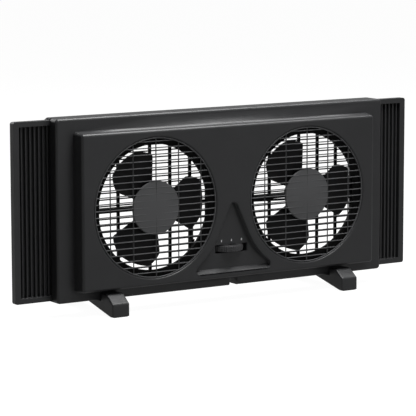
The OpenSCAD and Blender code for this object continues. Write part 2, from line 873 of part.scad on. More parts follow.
// Slotted ring of laminations, held between the two bells
module motor_stator(x) {
    slab(stator_front, stator_l)
        translate([x, -fan_drop]) difference() {
            ring(motor_r - bell_wall - fit_gap / 2, rotor_r + air_gap);
            for (a = [0 : 45 : 315])
                rotate(a) translate([rotor_r + stator_slot_in, 0]) circle(stator_slot_r, $fn = 32);
        }
}
module motor_stator_left() color([0.45, 0.45, 0.47]) motor_stator(-fan_x);
module motor_stator_right() color([0.45, 0.45, 0.47]) motor_stator(fan_x);

module motor_windings(x) {
    for (y0 = [stator_front - wound_l, stator_back])
        slab(y0, wound_l)
            translate([x, -fan_drop])
                ring(motor_r - bell_wall - wound_margin, rotor_r + air_gap + wound_margin);
}
module motor_windings_left() color([0.72, 0.38, 0.16]) motor_windings(-fan_x);
module motor_windings_right() color([0.72, 0.38, 0.16]) motor_windings(fan_x);

module motor_bushes(x) {
    difference() {
        union() {
            rod(x, -fan_drop, bush_r, bush_front, bush_back);
            rod(x, -fan_drop, bush_r, rear_nose_front, motor_back - nose_lip);
        }
        rod(x, -fan_drop, shaft_r + shaft_gap, nose_front, motor_back);
    }
}
module motor_bushes_left() color([0.7, 0.55, 0.3]) motor_bushes(-fan_x);
module motor_bushes_right() color([0.7, 0.55, 0.3]) motor_bushes(fan_x);

// Screws that hold each motor to the plate of its rear guard
module motor_screws() color([0.7, 0.7, 0.72]) {
    for (x = [-fan_x, fan_x], z = [-motor_screw_r, motor_screw_r]) {
        rod(x, z - fan_drop, motor_screw_d / 2,
            motor_back - bell_flange_t - motor_screw_end, plate_back + eps);
        rod(x, z - fan_drop, screw_head_r, plate_back, plate_back + screw_head_t);
    }
}

// Bolts that clamp the two bells of each motor together
module bell_bolts() color([0.7, 0.7, 0.72]) {
    for (x = [-fan_x, fan_x], a = [0 : 90 : 270]) {
        bx = x + bolt_circle_r * cos(a);
        bz = -fan_drop + bolt_circle_r * sin(a);
        rod(bx, bz, bolt_d / 2, bell_split - bell_flange_t - eps, bell_split + bell_flange_t + over);
        rod(bx, bz, bolt_head_r, bell_split - bell_flange_t - bolt_head_t, bell_split - bell_flange_t);
    }
}

// ---- side panels -------------------------------------------------------------

module side_outline(x0, x1, h) {
    translate([x0, -h / 2]) square([x1 - x0, h]);
}

module side_panel() {
    y0 = front_depth + slide_gap;
    arc_x = fan_x + panel_travel;
    difference() {
        union() {
            // frame: end bar and the two level bars
            slab(y0, side_t) difference() {
                intersection() {
                    side_outline(side_inner, side_outer, side_h);
                    translate([side_inner, 0])
                        rounded_rect(2 * (side_outer - side_inner), side_h, side_corner);
                }
                side_outline(side_inner - over, side_outer - side_end_w, side_h - 2 * side_bar_h);
            }
            // sheet and ribs
            slab(y0 + side_t - side_sheet_t, side_sheet_t)
                side_outline(side_inner, side_outer - side_end_w + over, side_h - 2 * side_bar_h + 2 * over);
            slab(y0 + side_rib_back, side_t - side_rib_back - eps)
                for (x = [side_outer - side_end_w - side_first_rib : -rib_pitch : side_inner + side_rib_w])
                    side_outline(x - side_rib_w / 2, x + side_rib_w / 2, side_h - 2 * side_bar_h + 2 * over);
            // guide arms
            slab(y0, side_t)
                for (z = [-1, 1])
                    translate([(arm_end + side_inner) / 2 + over, z * (side_h - arm_h) / 2])
                        square([side_inner - arm_end + 2 * over, arm_h], center = true);
        }
        slab(y0 - over, side_t + 2 * over) {
            translate([arc_x, -fan_drop]) circle(side_arc_r);
            for (z = [-boss_z, boss_z]) {
                translate([boss_x[1], z]) circle(slot_h / 2);
                translate([boss_x[1] + panel_travel, z]) circle(slot_h / 2);
                translate([boss_x[1] + panel_travel / 2, z]) square([panel_travel, slot_h], center = true);
            }
        }
    }
}
module side_panel_left() color([0.16, 0.16, 0.17]) mirror([1, 0, 0]) side_panel();
module side_panel_right() color([0.16, 0.16, 0.17]) side_panel();

// ---- control -------------------------------------------------------------------

module thumbwheel() color([0.3, 0.3, 0.31]) {
    translate([0, face_y + wheel_y, mid_z + wheel_z - wheel_t / 2])
        difference() {
            union() {
                cylinder(r = wheel_r - wheel_edge, h = wheel_t);
                translate([0, 0, wheel_edge])
                    linear_extrude(wheel_t - 2 * wheel_edge) difference() {
                        circle(wheel_r);
                        for (i = [0 : wheel_grooves - 1])
                            rotate(i * 360 / wheel_grooves)
                                translate([wheel_r + groove_out, 0]) circle(groove_r, $fn = 24);
                    }
            }
            translate([0, 0, -over]) cylinder(r = spindle_r + press_gap, h = wheel_t + 2 * over);
        }
}

module switch_spindle() color("silver") {
    translate([0, face_y + wheel_y, mid_z + spindle_low])
        cylinder(r = spindle_r, h = wheel_z + wheel_t / 2 - spindle_low);
    translate([0, face_y + wheel_y, mid_z + shelf_z + collar_gap])
        cylinder(r = collar_r, h = collar_h);
}

module switch_body() color([0.75, 0.72, 0.62]) {
    difference() {
        union() {
            translate([-switch_w / 2, face_y + wheel_y - switch_w / 2, mid_z + switch_top - switch_h])
                cube([switch_w, switch_w, switch_h]);
            translate([0, face_y + wheel_y, mid_z + switch_top - eps])
                cylinder(r = neck_r, h = shelf_t);
        }
        translate([0, face_y + wheel_y, mid_z + switch_top - switch_h + switch_floor])
            cylinder(r = spindle_r + slip_gap, h = switch_h + shelf_t + over);
        at_switch_screws(switch_top - switch_screw_l - over)
            cylinder(r = switch_screw_r, h = switch_screw_l + 2 * over);
    }
}

module switch_screws() color([0.7, 0.7, 0.72]) {
    at_switch_screws(switch_top - switch_screw_l)
        cylinder(r = switch_screw_r, h = shelf_t + switch_screw_l + eps);
    at_switch_screws(shelf_z)
        cylinder(r = switch_head_r, h = switch_head_t);
}

// Lead from the switch to a motor, clipped up an upright of the rear guard and laid under the strut
module motor_lead(side) {
    x = side * fan_x + lead_bar(side);
    z0 = switch_top - switch_h / 2;
    translate([0, face_y, mid_z])
        tube(rounded_route([
            [side * switch_w / 2, wheel_y, z0], [x, wheel_y, z0],
            [x, lead_y, z0 + lead_drop_in], [x, lead_y, lead_z - lead_bend],
            [x + side * lead_bend, lead_y, lead_z],
            [side * (fan_x - motor_r - lead_turn), lead_in_y, lead_z],
            [side * (fan_x - lead_inside), lead_in_y, lead_z]], lead_round), lead_r);
}
module motor_lead_left() color([0.1, 0.1, 0.1]) motor_lead(-1);
module motor_lead_right() color([0.1, 0.1, 0.1]) motor_lead(1);

// Bush that the supply lead would leave by, in the roof of the cord channel
module cord_gland() color([0.08, 0.08, 0.08]) {
    translate([notch_x, face_y + gland_y, foot_h + notch_h])
        difference() {
            union() {
                cylinder(r = gland_r, h = gland_h);
                translate([0, 0, notch_wall]) cylinder(r = gland_r + gland_flange, h = gland_flange);
            }
            translate([0, 0, -over]) cylinder(r = gland_bore_r, h = gland_h + 2 * over);
        }
}

// ---- feet and fasteners --------------------------------------------------------

// Side view of a foot: level along Y, height above the body's underside
module foot_outline() {
    heel = pad_l + 2 * pad_edge;
    arch = foot_slope * (foot_mid + foot_reach - heel);
    polygon([[-foot_reach, foot_bottom], [-foot_reach, foot_front_h - foot_h],
             [-foot_reach / 2, foot_lip], [-fit_gap, foot_lip], [-fit_gap, 0],
             [body_d + fit_gap, 0], [body_d + fit_gap, foot_lip], [body_d + foot_heel, foot_lip],
             [foot_back, foot_bottom + foot_front_h / 2], [foot_back, foot_bottom],
             [foot_back - heel, foot_bottom], [foot_mid, foot_bottom + arch],
             [-foot_reach + heel, foot_bottom]]);
}

module foot(x) {
    difference() {
        translate([x - foot_w / 2, face_y, foot_h])
            rotate([90, 0, 90]) linear_extrude(foot_w) foot_outline();
        pad_blocks(x);
        translate([x, face_y + foot_screw_y, foot_h + foot_bottom - over]) {
            cylinder(r = foot_screw_r + fit_gap, h = foot_h);
            cylinder(r = screw_head_r + foot_head_gap, h = -foot_bottom - foot_screw_seat + over);
        }
    }
}
module foot_left() color([0.2, 0.2, 0.21]) foot(-foot_x);
module foot_right() color([0.2, 0.2, 0.21]) foot(foot_x);

module pad_blocks(x) {
    for (y = [-foot_reach + pad_edge, foot_back - pad_l - pad_edge])
        translate([x - foot_w / 2 + pad_inset, face_y + y, 0])
            cube([foot_w - 2 * pad_inset, pad_l, pad_t]);
}

module foot_pads() color([0.1, 0.1, 0.1]) {
    for (x = [-foot_x, foot_x]) pad_blocks(x);
}

module foot_screws() color([0.7, 0.7, 0.72]) {
    for (x = [-foot_x, foot_x])
        translate([x, face_y + foot_screw_y, foot_h - foot_screw_seat]) {
            cylinder(r = foot_screw_r, h = foot_screw_seat + wall + foot_screw_bite);
            translate([0, 0, -screw_head_t]) cylinder(r = screw_head_r, h = screw_head_t + eps);
        }
}

module housing_screws() color([0.7, 0.7, 0.72]) {
    for (x = boss_x, side = [-1, 1], z = [-boss_z, boss_z]) {
        rod(side * x, z, screw_r, screw_tip_y, body_d + eps);
        rod(side * x, z, screw_head_r, body_d, body_d + screw_head_t);
    }
}

// ---- the nodes ------------------------------------------------------------------

front_housing();
rear_housing();
control_panel();
dial_marks();
front_grille_left();
front_grille_right();
rear_guard_left();
rear_guard_right();
impeller_left();
impeller_right();
impeller_nut_left();
impeller_nut_right();
motor_rotor_left();
motor_rotor_right();
motor_front_bell_left();
motor_front_bell_right();
motor_rear_bell_left();
motor_rear_bell_right();
motor_stator_left();
motor_stator_right();
motor_windings_left();
motor_windings_right();
motor_bushes_left();
motor_bushes_right();
motor_screws();
bell_bolts();
side_panel_left();
side_panel_right();
thumbwheel();
switch_spindle();
switch_body();
switch_screws();
motor_lead_left();
motor_lead_right();
cord_gland();
foot_left();
foot_right();
foot_pads();
foot_screws();
housing_screws();
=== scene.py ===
import json
import math

import bmesh
import bpy
from bpy.props import FloatProperty, FloatVectorProperty, IntProperty, PointerProperty
from mathutils import Matrix, Vector


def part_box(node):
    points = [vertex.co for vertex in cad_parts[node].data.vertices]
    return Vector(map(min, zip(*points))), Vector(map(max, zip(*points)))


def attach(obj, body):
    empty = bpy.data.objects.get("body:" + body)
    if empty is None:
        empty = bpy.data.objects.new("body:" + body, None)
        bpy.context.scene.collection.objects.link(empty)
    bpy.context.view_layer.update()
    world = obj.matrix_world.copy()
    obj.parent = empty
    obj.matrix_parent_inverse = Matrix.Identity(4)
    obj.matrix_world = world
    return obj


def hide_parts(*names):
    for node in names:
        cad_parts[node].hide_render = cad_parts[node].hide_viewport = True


bl_info = {
    "name": "Window Fan",
    "version": (1, 0, 0),
    "blender": (4, 5, 0),
    "location": "View3D > Sidebar > Window Fan",
    "description": "Dresses a twin window fan: housings, grilles, impellers, motors, side panels and feet",
    "category": "Object",
}

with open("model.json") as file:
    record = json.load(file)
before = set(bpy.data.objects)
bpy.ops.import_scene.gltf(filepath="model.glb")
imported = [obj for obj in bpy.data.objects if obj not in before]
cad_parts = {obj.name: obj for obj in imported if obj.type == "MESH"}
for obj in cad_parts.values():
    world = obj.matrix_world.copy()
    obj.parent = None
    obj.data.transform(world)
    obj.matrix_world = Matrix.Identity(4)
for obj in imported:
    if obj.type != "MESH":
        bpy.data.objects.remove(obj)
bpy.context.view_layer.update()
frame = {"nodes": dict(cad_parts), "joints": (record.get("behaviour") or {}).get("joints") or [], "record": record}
RECORD = frame["record"]
BODY_OF = {node: body for body, nodes in RECORD["behaviour"]["bodies"].items() for node in nodes}
SIDES = ("left", "right")
MM = 0.001

# Levels and middles that the solids give
HOUSING_LOW, HOUSING_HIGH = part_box("front_housing")
REAR_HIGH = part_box("rear_housing")[1]
GRILLE_LOW, GRILLE_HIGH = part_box("front_grille_left")
MID_Z = (HOUSING_LOW.z + HOUSING_HIGH.z) / 2
FAN_CENTRE = {side: Vector(joint["pos_m"])
              for side in SIDES
              for joint in frame["joints"] if joint["name"] == "impeller_%s_spin" % side}
FAN_X = FAN_CENTRE["right"].x
FAN_Z = FAN_CENTRE["right"].z
FACE_Y = FAN_CENTRE["left"].y
PANEL_Y = HOUSING_LOW.y
SEAM_Y = HOUSING_HIGH.y


# ---- settings ----------------------------------------------------------------

def colour(name, description, value):
    return FloatVectorProperty(name=name, description=description, subtype="COLOR", size=3,
                               min=0.0, max=1.0, default=value)


def length(name, description, millimetres):
    return FloatProperty(name=name, description=description, subtype="DISTANCE", unit="LENGTH",
                         min=0.0, default=millimetres * MM)


def share(name, description, value):
    return FloatProperty(name=name, description=description, subtype="FACTOR",
                         min=0.0, max=1.0, default=value)


class FanFinish(bpy.types.PropertyGroup):
    """Colours and surface of the fan."""
    shell: colour("Shell", "Housings, side panels and feet", (0.024, 0.0245, 0.026))
    grille: colour("Grille", "Front grilles", (0.09, 0.091, 0.094))
    # near-black funnel colour: painted shade in the funnels, which are moulded in the shell's plastic
    inside: colour("Inside", "Funnels behind the front grilles", (0.005, 0.005, 0.005))
    guard: colour("Guard", "Rear guards", (0.008, 0.008, 0.009))
    blade: colour("Blade", "Impellers", (0.004, 0.004, 0.0045))
    wheel: colour("Wheel", "Thumbwheel", (0.05, 0.05, 0.052))
    paint: colour("Marks", "Index marks above the thumbwheel", (0.75, 0.75, 0.75))
    roughness: share("Roughness", "Roughness of the shell", 0.42)
    grain: length("Grain", "Size of the moulded grain", 0.7)


class FanEdges(bpy.types.PropertyGroup):
    """Roundings of the moulded edges."""
    body: length("Body", "Front edge of the body", 4.5)
    rear: length("Rear", "Rear edge of the body", 2.5)
    panel: length("Raised panel", "Front edge of the raised panel", 4.2)
    seam: length("Seam", "Edges of the seam between the two housings", 0.5)
    pocket: length("Pocket", "Edge of the control pocket", 1.2)
    frame: length("Side panel frame", "Frame and ribs of a side panel", 0.9)
    foot: length("Foot", "Edges of a foot", 2.6)
    small: length("Small parts", "Edges of screws, bells and the like", 0.35)


class FanGrille(bpy.types.PropertyGroup):
    """Layout of the front grille and the impeller."""
    pitch: length("Bar pitch", "Distance between two level bars", 10.8)
    shift: length("Bar shift", "Height of the middle bar above the fan's axis", 1.5)
    bar: length("Bar width", "Width of a level bar", 1.9)
    uprights: length("Upright pitch", "Distance between two uprights", 43.2)
    upright: length("Upright width", "Width of an upright", 2.3)
    cap: length("Cap", "Diameter of the solid disc", 89.0)
    dome: length("Dome", "How far the disc bulges", 0.8)
    blades: IntProperty(name="Blades", description="Blades of an impeller", min=2, max=7, default=3)


class FanStage(bpy.types.PropertyGroup):
    """Camera and light."""
    lens: FloatProperty(name="Lens", description="Focal length on a 36 mm sensor", default=195.56, min=10.0)
    key: FloatProperty(name="Top light", description="Power of the light above", default=95.0, unit="POWER")
    fill: FloatProperty(name="Front light", description="Power of the light in front", default=9.0,
                        unit="POWER")
    back: FloatProperty(name="Back light", description="Power of the light behind", default=30.0,
                        unit="POWER")
    ambient: share("Ambient", "Strength of the surroundings", 0.14)
    behind: share("Behind", "Strength of the pale surroundings behind that gloss mirrors", 0.3)


# ---- materials -----------------------------------------------------------------

def new_material(name):
    """A material with a Principled shader and Object coordinates."""
    material = bpy.data.materials.new(name)
    material.use_nodes = True
    tree = material.node_tree
    coordinates = tree.nodes.new("ShaderNodeTexCoord")
    return material, tree, tree.nodes["Principled BSDF"], coordinates.outputs["Object"]


def noise(tree, vector, size, detail=3.0, stretch=None):
    """Noise whose features are about size metres across."""
    texture = tree.nodes.new("ShaderNodeTexNoise")
    texture.inputs["Scale"].default_value = 1.0 / size
    texture.inputs["Detail"].default_value = detail
    if stretch:
        mapping = tree.nodes.new("ShaderNodeMapping")
        mapping.inputs["Scale"].default_value = stretch
        tree.links.new(vector, mapping.inputs["Vector"])
        vector = mapping.outputs["Vector"]
    tree.links.new(vector, texture.inputs["Vector"])
    return texture.outputs["Fac"]


def spread(tree, value, low, high):
    """Maps a noise value onto low to high."""
    node = tree.nodes.new("ShaderNodeMapRange")
    node.inputs["From Min"].default_value = 0.3
    node.inputs["From Max"].default_value = 0.7
    node.inputs["To Min"].default_value = low
    node.inputs["To Max"].default_value = high
    tree.links.new(value, node.inputs["Value"])
    return node.outputs["Result"]


def mottle(tree, shader, value, base, change):
    """Varies the base colour a little, darker and lighter."""
    mix = tree.nodes.new("ShaderNodeMix")
    mix.data_type = "RGBA"
    mix.inputs[6].default_value = [c * (1.0 - change) for c in base] + [1.0]
    mix.inputs[7].default_value = [min(1.0, c * (1.0 + change)) for c in base] + [1.0]
    tree.links.new(value, mix.inputs[0])
    tree.links.new(mix.outputs[2], shader.inputs["Base Color"])


def bump(tree, shader, height, depth, strength):
    """Raises the surface by up to depth metres where height is high."""
    node = tree.nodes.new("ShaderNodeBump")
    node.inputs["Distance"].default_value = depth
    node.inputs["Strength"].default_value = strength
    tree.links.new(height, node.inputs["Height"])
    tree.links.new(node.outputs["Normal"], shader.inputs["Normal"])


def moulded_plastic(name, base, roughness, grain, strength=0.25, gloss=0.5):
    """Spark-eroded moulded plastic: fine grain, slight clouding, uneven gloss."""
    material, tree, shader, vector = new_material(name)
    clouds = noise(tree, vector, 0.06, 4.0)
    mottle(tree, shader, spread(tree, clouds, 0.0, 1.0), base, 0.08)
    tree.links.new(spread(tree, noise(tree, vector, 0.02), roughness - 0.04, roughness + 0.04),
                   shader.inputs["Roughness"])
    bump(tree, shader, noise(tree, vector, grain, 2.0), grain * 0.12, strength)
    shader.inputs["Specular IOR Level"].default_value = gloss
    return material


def rolled_metal(name, base, roughness, stretch):
    """Rolled or turned metal with fine lines along one way."""
    material, tree, shader, vector = new_material(name)
    shader.inputs["Metallic"].default_value = 1.0
    lines = noise(tree, vector, 0.0015, 3.0, stretch)
    mottle(tree, shader, spread(tree, noise(tree, vector, 0.012), 0.0, 1.0), base, 0.10)
    tree.links.new(spread(tree, lines, roughness - 0.08, roughness + 0.08), shader.inputs["Roughness"])
    bump(tree, shader, lines, 0.00004, 0.3)
    return material


def layered(name, base, pitch, metallic, roughness):
    """Thin layers stacked along the motor's axis: laminations, or turns of wire."""
    material, tree, shader, vector = new_material(name)
    shader.inputs["Metallic"].default_value = metallic
    shader.inputs["Roughness"].default_value = roughness
    wave = tree.nodes.new("ShaderNodeTexWave")
    wave.bands_direction = "Y"
    wave.inputs["Scale"].default_value = 1.0 / pitch / 20.0 * 2.0 * math.pi
    wave.inputs["Distortion"].default_value = 0.4
    tree.links.new(vector, wave.inputs["Vector"])
    mottle(tree, shader, wave.outputs["Fac"], base, 0.3)
    bump(tree, shader, wave.outputs["Fac"], pitch * 0.3, 0.6)
    return material


def soft_rubber(name, base):
    """Dull rubber with a fine uneven skin."""
    material, tree, shader, vector = new_material(name)
    mottle(tree, shader, spread(tree, noise(tree, vector, 0.01), 0.0, 1.0), base, 0.12)
    tree.links.new(spread(tree, noise(tree, vector, 0.004), 0.62, 0.78), shader.inputs["Roughness"])
    bump(tree, shader, noise(tree, vector, 0.0008), 0.0001, 0.2)
    return material


def printed_paint(name, base):
    """Flat printed paint, very slightly uneven."""
    material, tree, shader, vector = new_material(name)
    mottle(tree, shader, spread(tree, noise(tree, vector, 0.001), 0.0, 1.0), base, 0.05)
    shader.inputs["Roughness"].default_value = 0.5
    return material


MAKERS = {
    "shell": lambda s: moulded_plastic("shell_plastic", s.shell, s.roughness, s.grain),
    "grille": lambda s: moulded_plastic("grille_plastic", s.grille, s.roughness, s.grain, 0.12),
    # painted shade for the funnels: near-black, duller and with little gloss
    "inside": lambda s: moulded_plastic("funnel_painted_shade", s.inside, 0.6, s.grain, 0.1, 0.1),
    "guard": lambda s: moulded_plastic("guard_plastic", s.guard, 0.5, s.grain, 0.12, 0.2),
    "blade": lambda s: moulded_plastic("blade_plastic", s.blade, 0.5, s.grain, 0.06, 0.2),
    "wheel": lambda s: moulded_plastic("wheel_plastic", s.wheel, 0.32, s.grain, 0.08),
    "switch": lambda s: moulded_plastic("switch_plastic", (0.55, 0.5, 0.38), 0.4, s.grain, 0.1),
    "paint": lambda s: printed_paint("mark_paint", s.paint),
    "steel": lambda s: rolled_metal("bright_steel", (0.62, 0.62, 0.64), 0.28, (1.0, 12.0, 1.0)),
    "zinc": lambda s: rolled_metal("zinc_plate", (0.5, 0.51, 0.52), 0.38, (1.0, 6.0, 1.0)),
    "core": lambda s: layered("core_laminations", (0.18, 0.18, 0.19), 0.5 * MM, 0.8, 0.5),
    "copper": lambda s: layered("copper_wire", (0.55, 0.22, 0.08), 0.6 * MM, 0.9, 0.35),
    "bronze": lambda s: rolled_metal("bush_bronze", (0.55, 0.38, 0.18), 0.45, (1.0, 1.0, 1.0)),
    "rubber": lambda s: soft_rubber("black_rubber", (0.014, 0.014, 0.014)),
}


def finish(key):
    """The named finish, made once."""
    made = bpy.context.scene.get("fan_made", {})
    if key in made:
        return bpy.data.materials[made[key]]
    material = MAKERS[key](bpy.context.scene.fan_finish)
    bpy.context.scene["fan_made"] = {**dict(made), key: material.name}
    return material


# ---- building --------------------------------------------------------------------

def merged(node, cuts=()):
    """A working copy of a solid, its triangles merged into whole faces that end at the cuts."""
    bm = bmesh.new()
    bm.from_mesh(frame["nodes"][node].data)
    bmesh.ops.remove_doubles(bm, verts=bm.verts, dist=1e-6)
    for point, normal, reach in cuts:
        faces = [f for f in bm.faces if reach(f.calc_center_median())]
        around = {e for f in faces for e in f.edges} | {v for f in faces for v in f.verts}
        bmesh.ops.bisect_plane(bm, geom=faces + list(around), dist=1e-6, plane_co=point, plane_no=normal)

    def on_cut(edge):
        return any(all(abs((v.co - point).dot(normal)) < 1e-6 for v in edge.verts)
                   for point, normal, reach in cuts)
    bmesh.ops.dissolve_limit(bm, angle_limit=math.radians(0.5), verts=bm.verts,
                             edges=[e for e in bm.edges if not on_cut(e)],
                             use_dissolve_boundaries=False)
    return bm


def upright_cut(x):
    """A cut across the whole piece at x."""
    return Vector((x, 0, 0)), Vector((1, 0, 0)), lambda p: True


# Cuts through the openings' middles, so that no face of a housing has a hole in it
MIDDLE_CUT = upright_cut(0.0)
HOUSING_CUTS = [upright_cut(-FAN_X), MIDDLE_CUT, upright_cut(FAN_X),
                (Vector((0, 0, FAN_Z)), Vector((0, 0, 1)), lambda p: abs(p.x) > FAN_X)]


def corner_edges(bm, where=lambda a, b: True, angle=30.0, shortest=0.0, convex=None):
    """Edges where two faces meet at an angle and both ends pass the test."""
    found = []
    for edge in bm.edges:
        if edge.calc_face_angle(0.0) < math.radians(angle) or edge.calc_length() < shortest:
            continue
        if convex is not None and edge.is_convex != convex:
            continue
        if where(edge.verts[0].co, edge.verts[1].co):
            found.append(edge)
    return found


def round_off(bm, edges, width, segments=3):
    """Rounds the given edges, where there are any."""
    if edges and width > 0.0:
        bmesh.ops.bevel(bm, geom=edges, offset=width, offset_type="OFFSET", segments=segments,
                        profile=0.5, affect="EDGES", clamp_overlap=False, material=-1,
                        loop_slide=True)


def make_piece(bm, name, key, nodes, smooth=40.0, more=()):
    """Turns a bmesh into a finished object that stands for the named nodes."""
    mesh = bpy.data.meshes.new(name)
    bm.to_mesh(mesh)
    bm.free()
    mesh.shade_smooth()
    mesh.set_sharp_from_angle(angle=math.radians(smooth))
    piece = bpy.data.objects.new(name, mesh)
    bpy.context.scene.collection.objects.link(piece)
    for finish_key in (key, *more):
        piece.data.materials.append(finish(finish_key))
    normals = piece.modifiers.new("even normals", "WEIGHTED_NORMAL")
    normals.keep_sharp = True
    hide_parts(*nodes)
    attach(piece, BODY_OF[nodes[0]])
    return piece


def dress(node, key):
    """Gives a solid that keeps its shape its finish."""
    solid = frame["nodes"][node]
    solid.data.materials.clear()
    solid.data.materials.append(finish(key))


def softened(node, key, width, angle=30.0, shortest=0.0, segments=2):
    """A copy of a solid with its sharp edges rounded."""
    bm = merged(node)
    round_off(bm, corner_edges(bm, angle=angle, shortest=shortest), width, segments)
    return make_piece(bm, node + "_shape", key, [node])


def at_level(y, reach=0.02 * MM):
    """A test that two points both lie at level y."""
    return lambda a, b: abs(a.y - y) < reach and abs(b.y - y) < reach


def outline_edges(bm, y, slack=3.0 * MM):
    """Edges of the outer outline of the plate whose flat face is at level y."""
    level = at_level(y)
    points = [v.co for v in bm.verts if level(v.co, v.co)]
    low_x, high_x = min(p.x for p in points), max(p.x for p in points)
    low_z, high_z = min(p.z for p in points), max(p.z for p in points)

    def outside(p):
        return (p.x < low_x + slack or p.x > high_x - slack or p.z < low_z + slack or p.z > high_z - slack)
    return corner_edges(bm, lambda a, b: level(a, b) and outside(a) and outside(b), convex=True)


def turned(bm, profile, centre, steps=96):
    """Spins a profile of (radius, level) pairs about a fan's axis."""
    verts = [bm.verts.new((centre.x + r, y, centre.z)) for r, y in profile]
    edges = [bm.edges.new((a, b)) for a, b in zip(verts, verts[1:])]
    if profile[0][0] > 1e-6 and profile[-1][0] > 1e-6:
        edges.append(bm.edges.new((verts[-1], verts[0])))
    bmesh.ops.spin(bm, geom=verts + edges, cent=centre, axis=(0, 1, 0),
                   angle=math.tau, steps=steps, use_merge=True)
    bmesh.ops.remove_doubles(bm, verts=bm.verts, dist=1e-7)
    bmesh.ops.recalc_face_normals(bm, faces=bm.faces)


def rounded_profile(r0, r1, y0, y1, radius, steps=3):
    """A rectangle of radii r0 to r1 and levels y0 to y1 with rounded corners."""
    corners = [(r1 - radius, y0 + radius, -90), (r1 - radius, y1 - radius, 0),
               (r0 + radius, y1 - radius, 90), (r0 + radius, y0 + radius, 180)]
    points = []
    for r, y, start in corners:
        for i in range(steps + 1):
            a = math.radians(start + 90.0 * i / steps)
            points.append((r + radius * math.cos(a), y + radius * math.sin(a)))
    return points


def bar(bm, start, end, width, depth, segments=4):
    """A straight bar whose section is a lozenge; width is across, depth along Y."""
    along = end - start
    across = along.normalized().cross(Vector((0, 1, 0)))
    turn = Matrix((across * width / 2, Vector((0, depth / 2, 0)), along)).transposed().to_4x4()
    place = Matrix.Translation((start + end) / 2) @ turn
    bmesh.ops.create_cone(bm, cap_ends=True, cap_tris=False, segments=segments,
                          radius1=1.0, radius2=1.0, depth=1.0, matrix=place)


# ---- the pieces --------------------------------------------------------------------

class FAN_OT_housings(bpy.types.Operator):
    """Front and rear housings with their moulded roundings"""
    bl_idname = "fan.housings"
    bl_label = "Housings"

    panel_reach = (289 * MM, 129 * MM)
    panel_drop = 3 * MM
    wall_band = 8 * MM
    draft = 3 * MM
    # where the painted funnel shade begins behind the panel face, and how far past the grille's radius it reaches
    painted_shade_depth = 2.2 * MM
    painted_shade_reach = 2.0 * MM
    seam_slack = 0.5 * MM

    def execute(self, context):
        edges = context.scene.fan_edges
        bm = merged("front_housing", HOUSING_CUTS)
        self.taper(bm)
        round_off(bm, outline_edges(bm, FACE_Y), edges.body, 5)
        round_off(bm, outline_edges(bm, PANEL_Y), edges.panel, 5)
        round_off(bm, outline_edges(bm, SEAM_Y, self.seam_slack), edges.seam, 2)
        # the funnel faces get the second finish, which is painted shade
        self.paint_funnel_shade(bm)
        make_piece(bm, "front_housing_shape", "shell", ["front_housing"], more=["inside"])

        bm = merged("rear_housing", HOUSING_CUTS)
        round_off(bm, outline_edges(bm, REAR_HIGH.y), edges.rear, 4)
        round_off(bm, outline_edges(bm, SEAM_Y, self.seam_slack), edges.seam, 2)
        make_piece(bm, "rear_housing_shape", "shell", ["rear_housing"])
        return {"FINISHED"}

    def taper(self, bm):
        """Draws the foot of the raised panel's walls outward, so that they slope."""
        level = at_level(FACE_Y)
        half_w, half_h = self.panel_reach
        middle = MID_Z - self.panel_drop
        for v in bm.verts:
            x, z = v.co.x, v.co.z - middle
            if level(v.co, v.co) and abs(x) < half_w and abs(z) < half_h:
                if abs(x) > half_w - self.wall_band:
                    v.co.x += math.copysign(self.draft, x)
                if abs(z) > half_h - self.wall_band:
                    v.co.z += math.copysign(self.draft, z)

    def paint_funnel_shade(self, bm):
        """Gives the faces within the openings the near-black funnel finish: painted shade, since the funnels are
        the shell's own plastic.
        """
        radius = (GRILLE_HIGH.x - GRILLE_LOW.x) / 2
        for face in bm.faces:
            middle = face.calc_center_median()
            nearest = min(math.hypot(middle.x - c.x, middle.z - c.z) for c in FAN_CENTRE.values())
            if nearest < radius + self.painted_shade_reach and middle.y > PANEL_Y + self.painted_shade_depth:
                face.material_index = 1


class FAN_OT_control(bpy.types.Operator):
    """Control pocket, its index marks and the thumbwheel"""
    bl_idname = "fan.control"
    bl_label = "Control"

    pocket_drop = 75 * MM
    steep = 0.3

    def execute(self, context):
        edges = context.scene.fan_edges
        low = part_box("control_panel")[0]
        bm = merged("control_panel", [MIDDLE_CUT])
        round_off(bm, self.mouth(bm, low.y), edges.pocket, 4)
        make_piece(bm, "control_panel_shape", "shell", ["control_panel"])
        dress("dial_marks", "paint")
        softened("thumbwheel", "wheel", 0.25 * MM, shortest=0.5 * MM)
        softened("switch_spindle", "steel", edges.small)
        softened("switch_body", "switch", edges.small)
        return {"FINISHED"}

    def mouth(self, bm, y):
        """Inner edges of the pocket's rim: their steep face looks towards the pocket's middle."""
        level = at_level(y)
        inner = []
        for edge in corner_edges(bm, level):
            wall = min(edge.link_faces, key=lambda f: abs(f.normal.y))
            middle = (edge.verts[0].co + edge.verts[1].co) / 2
            centre = Vector((0, middle.y, MID_Z - self.pocket_drop))
            inward = wall.normal.dot(centre - middle) > 0.0
            if inward and abs(wall.normal.y) < self.steep:
                inner.append(edge)
        return inner


